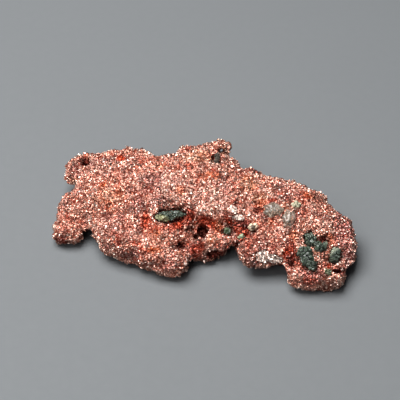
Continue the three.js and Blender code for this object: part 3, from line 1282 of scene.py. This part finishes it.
@dataclass
class MineralGrain:
    """A mineral grain or cluster that sits in a pit of the metal.

    Attributes:
        node: The solid node that it stands for.
        slot: The record's material slot.
        dark: Colour of its grooves, partly painted shade.
        light: Colour of its ridges and edges, partly painted highlight.
        swell: How much larger than the solid node it is along X, Y and Z, to fill its pit.
        shift: How far it sits from the solid node's place.
        crystal: Height and pitch of the crystals that it is made of, in metres.
        rim: Colour of a weathered rim, if it has one; on the right green crystal it is painted highlight on
            its upper side.
        rim_side: Direction that the rim lies in.
        rim_from: Where the rim starts, from 0 at the middle to 1 at the edge.
        taper: Share of its thickness that it loses towards its left end and its right end, along X.
        marks: Small marks of another colour.
        voxel: Side of a square of its fine mesh.
    """

    node: str
    slot: str
    dark: Colour
    light: Colour
    swell: Point = (1.1, 1.1, 1.1)
    shift: Point = (0.0, 0.0, 0.0)
    crystal: tuple[float, float] = (0.24 * MM, 0.95 * MM)
    rim: Colour | None = None
    rim_side: Point = (0.0, 0.0, 1.0)
    rim_from: float = 0.55
    taper: tuple[float, float] = (0.0, 0.0)
    marks: list[tuple[Spot, Colour]] = field(default_factory=list)
    voxel: float = 0.085 * MM

    def build(self, material: bpy.types.Material) -> bpy.types.Object:
        """Builds the grain and rides it on the root body.

        Args:
            material: Its finish.

        Returns:
            The finished piece.
        """
        skin = remeshed(self.node, self.voxel)
        middle = centre_of(self.node)
        along = (skin.points[:, 0] - middle[0]) / (np.ptp(skin.points[:, 0]) / 2)
        left, right = self.taper
        slim = 1.0 - np.where(along < 0, left, right) * held(along * along)
        slimmed = np.stack([np.ones_like(slim), slim, slim], axis=1)
        skin.points = middle + (skin.points - middle) * np.array(self.swell) * slimmed
        height, pitch = self.crystal
        tops, share, inside = SolidNoise(len(self.node)).facets(skin.points, pitch)
        tilted, sunk_by = 1.3, 0.6
        skin.raise_by(height * (tilted * tops + inside - sunk_by))
        small_height, small_pitch = 0.3 * height, 0.45 * pitch
        small, _, _ = SolidNoise(Seed.STONE).facets(skin.points, small_pitch)
        skin.raise_by(small_height * small)
        surroundings, proud_unit = 6, 0.04 * MM
        proud = skin.proudness(surroundings) / proud_unit
        # Ridges, grain middles and chance make a corner lighter: partly painted highlight on ridges and
        # painted shade in grooves.
        start, by_inside, by_proud, by_chance = 0.25, 0.25, 0.3, 0.5
        light_share = held(start + by_inside * inside + by_proud * proud + by_chance * (share - 0.5))
        tints = laid_over(np.array(self.dark), self.light, light_share)
        rim_sharpness, most_rim, mark_sharpness = 2.5, 0.85, 3.0
        if self.rim:
            half = np.ptp(skin.points, axis=0) / 2
            lean = ((skin.points - middle) / half) @ np.array(self.rim_side)
            edge = np.clip(rim_sharpness * (lean - self.rim_from), 0.0, most_rim)
            tints = laid_over(tints, self.rim, edge)
        for spot, colour in self.marks:
            tints = laid_over(tints, colour, held(mark_sharpness * (1.0 - spot.reach(skin.points))))
        skin.points = skin.points + np.array(self.shift)
        made = skin.piece(f"{self.node}_stone", material)
        if self.slot == "clear_crystal":
            made.data.shade_smooth()
        paint(made, TINT, tints)
        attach(made, ROOT)
        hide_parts(self.node)
        return made


# ---------------------------------------------------------------- studio
@dataclass(frozen=True)
class Lamp:
    """A soft square light that faces the nugget.

    Attributes:
        name: Its name.
        place: Where it stands, in metres.
        width: Side of the square, in metres.
        power: Its power in watts.
    """

    name: str
    place: Point
    width: float
    power: float

    def build(self) -> None:
        """Hangs the light and points it at the nugget."""
        data = bpy.data.lights.new(self.name, "AREA")
        data.size = self.width
        data.energy = self.power
        lamp = bpy.data.objects.new(self.name, data)
        lamp.location = self.place
        lamp.rotation_mode = "QUATERNION"
        lamp.rotation_quaternion = (-Vector(self.place)).to_track_quat("-Z", "Y")
        bpy.context.scene.collection.objects.link(lamp)


@dataclass
class Studio:
    """The camera, the floor and the soft lights.

    Attributes:
        elevation: Height of the camera above the horizon, in degrees.
        distance: From the camera to the point it looks at.
        view_width: Width of what it sees at that point.
        aim: The point it looks at, from the middle of the nugget's box.
        lamps: The lights.
        sky: Grey of the even light from all round.
        sensor: Width of the camera's sensor, in millimetres.
        nearest: Distance from which the camera sees things.
        floor_half: Half of the floor's side.
    """

    elevation: float = 45.0
    distance: float = 0.4
    view_width: float = 85.2 * MM
    aim: Point = (-0.771 * MM, 3.914 * MM, -1.08 * MM)
    lamps: tuple[Lamp, ...] = (
        Lamp("top_softbox", (-0.13, 0.02, 0.44), 0.34, 6.0),
        Lamp("front_fill", (-0.2, -0.32, 0.34), 0.26, 0.8),
    )
    sky: Colour = (0.07, 0.07, 0.073)
    sensor: float = 36.0
    nearest: float = 0.01
    floor_half: float = 1.5

    def camera(self) -> None:
        """Sets up the camera."""
        low, high = CAD_BOX
        target = (low + high) / 2 + Vector(self.aim)
        lift = math.radians(self.elevation)
        back = Vector((0.0, -math.cos(lift), math.sin(lift)))
        data = bpy.data.cameras.new("camera")
        data.sensor_width = self.sensor
        data.lens = data.sensor_width * self.distance / self.view_width
        data.clip_start = self.nearest
        camera = bpy.data.objects.new("camera", data)
        camera.location = target + back * self.distance
        camera.rotation_mode = "QUATERNION"
        camera.rotation_quaternion = (-back).to_track_quat("-Z", "Y")
        bpy.context.scene.collection.objects.link(camera)
        bpy.context.scene.camera = camera

    def floor(self) -> None:
        """Lays the floor."""
        half = self.floor_half
        points = np.array([(-half, -half, 0), (half, -half, 0), (half, half, 0), (-half, half, 0)], float)
        skin = Skin(points, np.array([[0, 1, 2, 3]]))
        skin.piece("floor", FloorFinish().material())

    def light(self) -> None:
        """Hangs the lamps and lights the sky."""
        for lamp in self.lamps:
            lamp.build()
        world = bpy.data.worlds.new("studio")
        world.use_nodes = True
        world.node_tree.nodes["Background"].inputs["Color"].default_value = (*self.sky, 1.0)
        bpy.context.scene.world = world
        bpy.context.scene.view_settings.view_transform = "Standard"


# ---------------------------------------------------------------- the whole nugget
MARKS: dict[Tone, list[Mark]] = {
    Tone.CREAM: [
        Mark((-7.0, 5.2), (2.8, 3.7), 0.95),  # left of the crown
        Mark((-3.0, 5.0), (1.5, 1.5), 0.5),
        Mark((1.5, 2.5), (4.7, 3.4), 0.95),  # right of the crown
        Mark((4.0, 0.3), (2.1, 1.5), 0.8),
        Mark((7.8, -0.5), (2.3, 1.5), 0.6),  # beside the bright faces
        Mark((-11.5, 8.0), (2.3, 1.5), 0.5),
        Mark((-24.0, -0.5), (3.2, 2.8), 0.4),  # middle lobe
        Mark((17.0, -5.0), (2.3, 1.5), 0.55),
        Mark((12.5, 4.0), (2.1, 1.3), 0.35),
        Mark((23.5, 0.3), (1.7, 1.3), 0.45),
        Mark((26.0, -3.5), (1.7, 1.3), 0.7),  # above the right green crystal
        Mark((23.0, -9.7), (1.3, 1.5), 0.4),
        Mark((28.5, -14.6), (1.8, 1.3), 1.0),  # right corner of the boxy lobe
    ],
    Tone.GOLD: [
        Mark((-1.0, 11.6), (4.3, 1.9), 0.7),  # spur
        Mark((4.6, 12.7), (1.7, 1.1), 0.6),
        Mark((2.0, -6.0), (1.7, 1.2), 0.95),  # pale cushion right of the cavity
        Mark((-20.5, 3.0), (3.6, 2.3), 0.5),
        Mark((-28.0, 5.8), (1.0, 1.5), 0.6),
        Mark((-9.3, -6.0), (2.3, 1.5), 0.35),
        Mark((10.3, 6.0), (2.1, 1.6), 0.9),  # behind the saddle
        Mark((11.4, 1.6), (1.4, 1.6), 0.75),
        Mark((17.6, 1.0), (1.3, 0.9), 0.5),
    ],
    Tone.PLUM: [
        Mark((-11.5, 5.8), (2.6, 2.3), 0.62),  # dusk left of the crown
        Mark((-9.0, 2.4), (1.9, 1.7), 0.7),
        Mark((-14.0, 1.0), (2.1, 2.1), 0.55),
        Mark((-16.7, 8.4), (2.1, 1.3), 0.35),
        Mark((-18.7, 11.0), (4.7, 1.9), 0.35),  # back rim
        Mark((-28.0, 8.8), (1.3, 1.5), 0.75),
        Mark((-19.0, -4.0), (3.6, 2.3), 0.35),
        Mark((-27.5, -8.2), (2.3, 0.9), 0.6),
        Mark((-15.7, -9.7), (3.2, 1.3), 0.5),  # front flank
        Mark((-3.0, -11.2), (1.7, 1.3), 0.4),
        Mark((11.6, -7.2), (2.8, 1.3), 0.6),
        Mark((22.2, -13.0), (3.0, 1.1), 0.95),  # top of the boxy lobe
        Mark((27.8, -0.3), (1.4, 1.9), 0.9),  # right end
        Mark((31.2, -4.8), (1.3, 3.2), 0.5),
    ],
    Tone.ROSE: [
        Mark((29.7, -6.0), (2.8, 5.3), 0.85),  # right rim
        Mark((4.6, 3.7), (1.3, 1.1), 0.5),
        Mark((-3.0, -7.6), (2.3, 1.7), 0.5),
        Mark((-7.2, -11.2), (2.1, 1.5), 0.4),
    ],
    Tone.ORANGE: [
        Mark((-21.4, 5.6), (1.0, 0.5), 0.95),
        Mark((-17.8, 4.0), (1.5, 0.9), 0.6),
        Mark((-20.0, 1.0), (1.3, 0.9), 0.5),
        Mark((-9.3, 9.9), (1.1, 0.6), 0.6),
        Mark((-4.8, 4.3), (1.1, 0.9), 0.7),
        Mark((2.0, 7.3), (2.6, 0.9), 0.75),  # foot of the spur
        Mark((10.0, 6.7), (1.3, 0.9), 0.6),
        Mark((-10.6, -8.2), (1.6, 0.7), 0.95),  # front bulge
        Mark((-10.0, -4.4), (1.3, 0.9), 0.75),
        Mark((3.5, -3.5), (1.3, 1.5), 0.8),  # right of the cavity
        Mark((11.8, 0.7), (1.1, 1.1), 0.6),
        Mark((14.0, -3.0), (1.1, 1.1), 0.5),
        Mark((18.6, -5.7), (0.9, 0.9), 0.7),
        Mark((22.2, 3.5), (1.5, 0.6), 0.8),
        Mark((26.0, -5.7), (1.3, 1.1), 0.6),
    ],
    Tone.SCARLET: [
        Mark((-17.5, 11.3), (1.1, 0.9), 1.0),  # bright fleck at the back
        Mark((0.5, -2.7), (2.3, 1.3), 0.85),  # above the cavity
        Mark((-6.5, -3.7), (1.9, 0.6), 0.7),  # round the lens
        Mark((-9.3, -3.4), (1.9, 0.5), 0.6),
        Mark((-12.3, -2.5), (1.0, 1.9), 0.8),
        Mark((-8.6, -0.6), (1.7, 0.5), 0.5),
        Mark((6.0, 6.3), (0.9, 0.5), 0.5),
        Mark((18.0, -8.2), (1.7, 1.4), 0.5),  # hollow left of the large green cluster
        Mark((26.0, -11.4), (0.9, 0.7), 0.9),
    ],
    Tone.RED: [
        Mark((-3.0, -1.6), (1.5, 1.5), 0.9),  # right of the lens
        Mark((-5.0, -2.5), (1.5, 1.3), 1.0),
        Mark((5.2, -2.3), (1.3, 1.5), 0.85),
        Mark((8.0, -4.4), (3.0, 1.6), 1.0),  # saddle
        Mark((10.0, -6.0), (1.7, 0.9), 0.45),
        Mark((8.8, -7.6), (0.9, 1.9), 0.5),
        Mark((11.6, 0.1), (1.4, 1.3), 0.75),  # left of the clear crystals
        Mark((14.0, 2.0), (1.5, 0.5), 0.8),
        Mark((-1.2, -8.0), (1.9, 1.9), 0.9),  # ledge
        Mark((2.2, -9.0), (2.6, 1.2), 0.95),
        Mark((2.4, -7.4), (1.7, 0.9), 0.6),
        Mark((4.6, -8.6), (1.3, 1.1), 0.6),
        Mark((18.4, -9.3), (1.6, 1.8), 0.95),  # hollow left of the large green cluster
        Mark((20.5, -11.2), (1.1, 0.9), 0.7),
        Mark((21.5, -15.3), (2.1, 0.9), 0.7),
        Mark((-13.5, -11.2), (4.3, 0.9), 0.45),  # front flank
        Mark((-29.7, -7.4), (1.3, 1.0), 0.7),
        Mark((9.9, 8.8), (3.6, 0.5), 0.6),
    ],
    # Mostly painted shade: maroon in hollows and crevices and under ledges, feet and overhangs.
    Tone.MAROON_SHADE: [
        Mark((-25.5, 10.3), (1.3, 1.0), 1.0),  # hollow at the upper corner
        Mark((-24.2, 8.4), (1.3, 1.3), 0.35),
        Mark((-29.8, -7.2), (2.1, 1.0), 0.9),  # under the lower foot
        Mark((2.3, -9.2), (2.6, 1.1), 0.9),  # under the ledge
        Mark((0.3, -10.4), (3.6, 0.9), 0.7),
        Mark((-5.0, -1.8), (1.1, 0.9), 0.8),
        Mark((-4.6, -7.6), (1.2, 0.9), 0.8),
        Mark((-5.0, -10.8), (1.5, 1.7), 0.35),
        Mark((-10.0, -11.3), (3.2, 1.1), 0.4),  # nose of the front bulge
        Mark((7.0, 1.5), (1.1, 0.5), 0.8),  # crevice over the bright faces
        Mark((8.2, -3.5), (2.6, 0.7), 0.95),
        Mark((8.2, -4.6), (2.6, 1.2), 0.4),
        Mark((11.6, 8.4), (1.5, 0.5), 0.8),
        Mark((18.2, -8.6), (1.3, 1.7), 0.35),
        Mark((18.2, -10.6), (0.9, 1.2), 0.9),
        Mark((21.6, 5.4), (2.1, 0.5), 0.6),
        Mark((21.8, -6.0), (1.3, 1.5), 0.9),  # behind the green crystals
        Mark((25.0, -6.5), (0.9, 0.9), 0.9),
        Mark((28.0, -0.6), (1.1, 1.5), 0.45),
        Mark((27.7, -12.7), (2.1, 0.5), 0.9),
    ],
    # Near-black painted shade in the cavity, the slit, the notches and the gaps.
    Tone.PIT_SHADE: [
        Mark((-25.5, 10.3), (1.1, 0.7), 0.9),  # hollow at the upper corner
        Mark((-0.3, -4.6), (1.7, 1.2), 1.0),  # cavity
        Mark((-1.2, -5.7), (0.9, 0.9), 1.0),
        Mark((-2.7, -4.4), (1.8, 0.6), 1.0),  # its left arm
        Mark((-4.8, -7.5), (1.5, 0.6), 1.0),  # slit
        Mark((-24.6, -5.2), (1.4, 0.9), 0.9),  # notch beside the lower foot
        Mark((6.2, -7.4), (1.9, 1.2), 1.0),  # notch right of the ledge
        Mark((2.4, -9.9), (2.1, 0.6), 0.6),
        Mark((7.0, 1.5), (1.0, 0.4), 0.5),
        Mark((18.0, -11.2), (0.6, 0.9), 0.8),
        Mark((23.3, -7.2), (0.6, 0.9), 0.7),
        Mark((24.8, -6.0), (0.9, 0.6), 0.9),
        Mark((28.2, -12.4), (1.7, 0.4), 0.85),  # gap between the end and its lobe
    ],
}

DENTS = [
    Mark((-25.5, 10.3), (1.3, 1.0), 1.3),  # hollow at the upper corner
    Mark((-0.3, -4.6), (1.4, 1.1), 2.2),  # cavity
    Mark((-1.6, -5.5), (0.8, 0.6), 1.2),
    Mark((-2.9, -4.4), (1.1, 0.5), 1.3),  # its left arm
    Mark((-4.6, -7.4), (1.2, 0.6), 1.4),  # slit
    Mark((2.2, -9.5), (2.3, 0.9), 0.8),  # under the ledge
    Mark((6.2, -7.4), (1.8, 1.0), 2.0),  # notch right of the ledge
    Mark((-24.6, -5.2), (1.5, 0.9), 1.0),  # notch beside the lower foot
    Mark((-12.0, -2.3), (0.9, 1.3), 0.35),
    Mark((-5.5, -1.0), (3.2, 0.4), 0.3),  # over the lens
    Mark((7.0, 1.5), (1.3, 0.4), 0.6),  # crevice over the bright faces
    Mark((8.2, -3.4), (2.6, 0.5), 1.1),
    Mark((11.8, 0.3), (1.4, 1.0), 0.45),
    Mark((18.0, -10.8), (0.6, 1.1), 1.0),
    Mark((21.8, -6.3), (1.3, 1.4), 0.7),  # behind the green crystals
    Mark((24.8, -6.0), (0.8, 0.6), 0.9),
    Mark((28.0, -12.5), (2.1, 0.5), 1.2),  # gap between the end and its lobe
]

BRIGHT_COPPER = CopperFinish(
    name="bright_copper",
    grain=0.28 * MM,
    facet=0.3 * MM,
    relief=0.7,
    roughness=(0.34, 0.55),
    shaded=(0.45, 0.3, 0.26),
)

UPPER_FACE = Spot((6.2, -3.3, 3.6), (1.4, 0.65, 0.12))
MIDDLE_FACE = Spot((7.3, -4.5, 2.2), (1.4, 0.55, 0.12))
COMB_FACE = Spot((12.2, -13.0, -0.6), (1.3, 1.3, 0.16))
LOWEST_FACE = Spot((14.3, -13.3, -1.0), (2.1, 0.85, 0.16))
BRIGHT_FACES = [
    GrowthSteps(UPPER_FACE, (0.08, -0.5, 0.86), (1.0, -0.6, -0.3), 2, 0.08),
    GrowthSteps(MIDDLE_FACE, (-0.3, -0.68, 0.67), (1.0, -0.1, 0.0), 3, 0.16),
    GrowthSteps(COMB_FACE, (0.02, -0.7, 0.7), (0.15, -0.8, -0.5), 10, 0.26),
    GrowthSteps(LOWEST_FACE, (0.0, -0.72, 0.69), (1.0, -0.15, -0.15), 6, 0.24),
]

# How clear each mineral is, and its lowest and highest roughness.
SHINE: dict[str, tuple[float, tuple[float, float]]] = {
    "green_crystal": (0.0, (0.2, 0.5)),
    "pale_green_crystal": (0.0, (0.25, 0.55)),
    "olive_crystal": (0.0, (0.3, 0.6)),
    "clear_crystal": (0.8, (0.2, 0.4)),
    "cream_crystal": (0.0, (0.25, 0.5)),
    "host_rock": (0.0, (0.65, 0.9)),
}

# Colours of the minerals' grooves and ridges, standing partly for painted shade and painted highlight, or of
# one part of a grain.
SLATE_GREEN = ((0.004, 0.007, 0.004), (0.062, 0.09, 0.06))
PALE_GREEN = (0.34, 0.37, 0.27)
ICE = ((0.38, 0.27, 0.19), (0.86, 0.73, 0.58))
PALE_ICE = ((0.62, 0.45, 0.32), (1.0, 0.89, 0.74))
YELLOW_GREEN = (0.28, 0.27, 0.13)
BROWN_CORE = (0.12, 0.075, 0.045)
DARK_SPECK = (0.05, 0.03, 0.02)

GRAINS = [
    MineralGrain(
        "green_lens",
        "green_crystal",
        *SLATE_GREEN,
        swell=(1.06, 1.05, 1.0),
        crystal=(0.18 * MM, 0.7 * MM),
        taper=(0.45, 0.75),
        rim=YELLOW_GREEN,
        rim_side=(-0.75, -0.7, 0.0),
        rim_from=0.5,
    ),
    MineralGrain(
        "green_bead", "green_crystal", (0.012, 0.02, 0.01), (0.08, 0.11, 0.05), swell=(0.95, 1.0, 0.95)
    ),
    MineralGrain(
        "green_fleck", "pale_green_crystal", (0.06, 0.1, 0.04), (0.28, 0.32, 0.2), swell=(0.95, 1.0, 0.9)
    ),
    MineralGrain("green_upper_crystal", "green_crystal", *SLATE_GREEN),
    MineralGrain(
        "green_middle_crystal",
        "green_crystal",
        *SLATE_GREEN,
        rim=PALE_GREEN,
        rim_side=(1.0, 0.0, 0.0),
        rim_from=0.6,
    ),
    MineralGrain("green_large_cluster", "green_crystal", *SLATE_GREEN),
    # Its pale rim is painted highlight on its upper side.
    MineralGrain(
        "green_right_crystal",
        "pale_green_crystal",
        *SLATE_GREEN,
        rim=PALE_GREEN,
        rim_side=(-0.5, 0.7, 0.2),
        rim_from=0.1,
    ),
    MineralGrain("olive_grain", "olive_crystal", (0.03, 0.035, 0.015), (0.14, 0.15, 0.07)),
    MineralGrain(
        "clear_upper_crystal",
        "clear_crystal",
        *ICE,
        swell=(1.25, 1.2, 1.15),
        shift=(0.0, 0.15 * MM, -0.5 * MM),
        crystal=(0.22 * MM, 1.6 * MM),
        marks=[(Spot((0.1, -0.4, 0.6), (0.45, 0.5, 0.8), "clear_upper_crystal"), DARK_SPECK)],
    ),
    MineralGrain(
        "clear_lower_crystal",
        "clear_crystal",
        *PALE_ICE,
        swell=(1.3, 1.4, 1.3),
        shift=(0.0, 0.15 * MM, -0.55 * MM),
        crystal=(0.22 * MM, 1.6 * MM),
    ),
    MineralGrain(
        "pale_fleck", "pale_green_crystal", (0.2, 0.19, 0.12), (0.48, 0.44, 0.3), swell=(1.5, 1.15, 0.85)
    ),
    MineralGrain(
        "pale_bead",
        "cream_crystal",
        (0.4, 0.26, 0.16),
        (0.9, 0.72, 0.52),
        marks=[(Spot((0.0, -0.5, 0.5), (0.65, 0.65, 0.65), "pale_bead"), BROWN_CORE)],
    ),
    MineralGrain(
        "spur_matrix",
        "host_rock",
        (0.008, 0.005, 0.003),
        (0.075, 0.05, 0.03),
        swell=(0.8, 1.35, 1.0),
        crystal=(0.2 * MM, 0.5 * MM),
    ),
]


def crusts() -> list[CrystalCrust]:
    """Shares the crust out: top and sides in three parts along X, the underside and the ridges."""
    bare = [face.bare() for face in BRIGHT_FACES]
    low, high = CAD_BOX
    under = -0.35
    ridge_from = 0.35
    borders = [
        -math.inf,
        low.x + (high.x - low.x) / 3,
        low.x + 2 * (high.x - low.x) / 3,
        math.inf,
    ]

    def upper(start: float, end: float) -> Callable[[np.ndarray, np.ndarray, np.ndarray], np.ndarray]:
        """Picks the top and sides between two places along X."""
        return lambda p, _, n: (n[:, 2] > under) & (p[:, 0] >= start) & (p[:, 0] < end)

    parts = (
        ("crust_left", Seed.CRUST_LEFT),
        ("crust_middle", Seed.CRUST_MIDDLE),
        ("crust_right", Seed.CRUST_RIGHT),
    )
    made = [
        CrystalCrust(name, upper(borders[k], borders[k + 1]), seed, bare=bare)
        for k, (name, seed) in enumerate(parts)
    ]
    made.append(
        CrystalCrust(
            "crust_underside",
            lambda _, __, n: n[:, 2] <= under,
            Seed.CRUST_UNDERSIDE,
            per_area=6.0 / MM**2,
            radius=(0.16 * MM, 0.36 * MM),
        )
    )
    made.append(
        CrystalCrust(
            "ridge_crystals",
            lambda _, proud, n: (proud > ridge_from) & (n[:, 2] > under),
            Seed.RIDGE_CRYSTALS,
            per_area=2.5 / MM**2,
            radius=(0.2 * MM, 0.42 * MM),
            lift=(-0.2, 0.5),
            bare=bare,
        )
    )
    return made


def report(made: bpy.types.Object) -> None:
    """Logs a finished piece."""
    log.info("%s: %d corners, %d faces", made.name, len(made.data.vertices), len(made.data.polygons))


def main() -> None:
    """Builds the camera, the metal, its crust, the mineral grains and the studio."""
    logging.basicConfig(level=logging.INFO, format="%(name)s %(message)s")
    studio = Studio()
    studio.camera()
    copper = CopperFinish().material()
    body = CopperBody(MARKS, DENTS, BRIGHT_FACES)
    report(body.build(copper))
    for crust in crusts():
        report(crust.build(body, copper))
    report(build_bright_faces(BRIGHT_FACES, body.skin, BRIGHT_COPPER.material()))
    for grain in GRAINS:
        finish = MineralFinish(f"{grain.node}_finish", *SHINE[grain.slot])
        report(grain.build(finish.material()))
    studio.floor()
    studio.light()


if __name__ == "__main__":
    main()
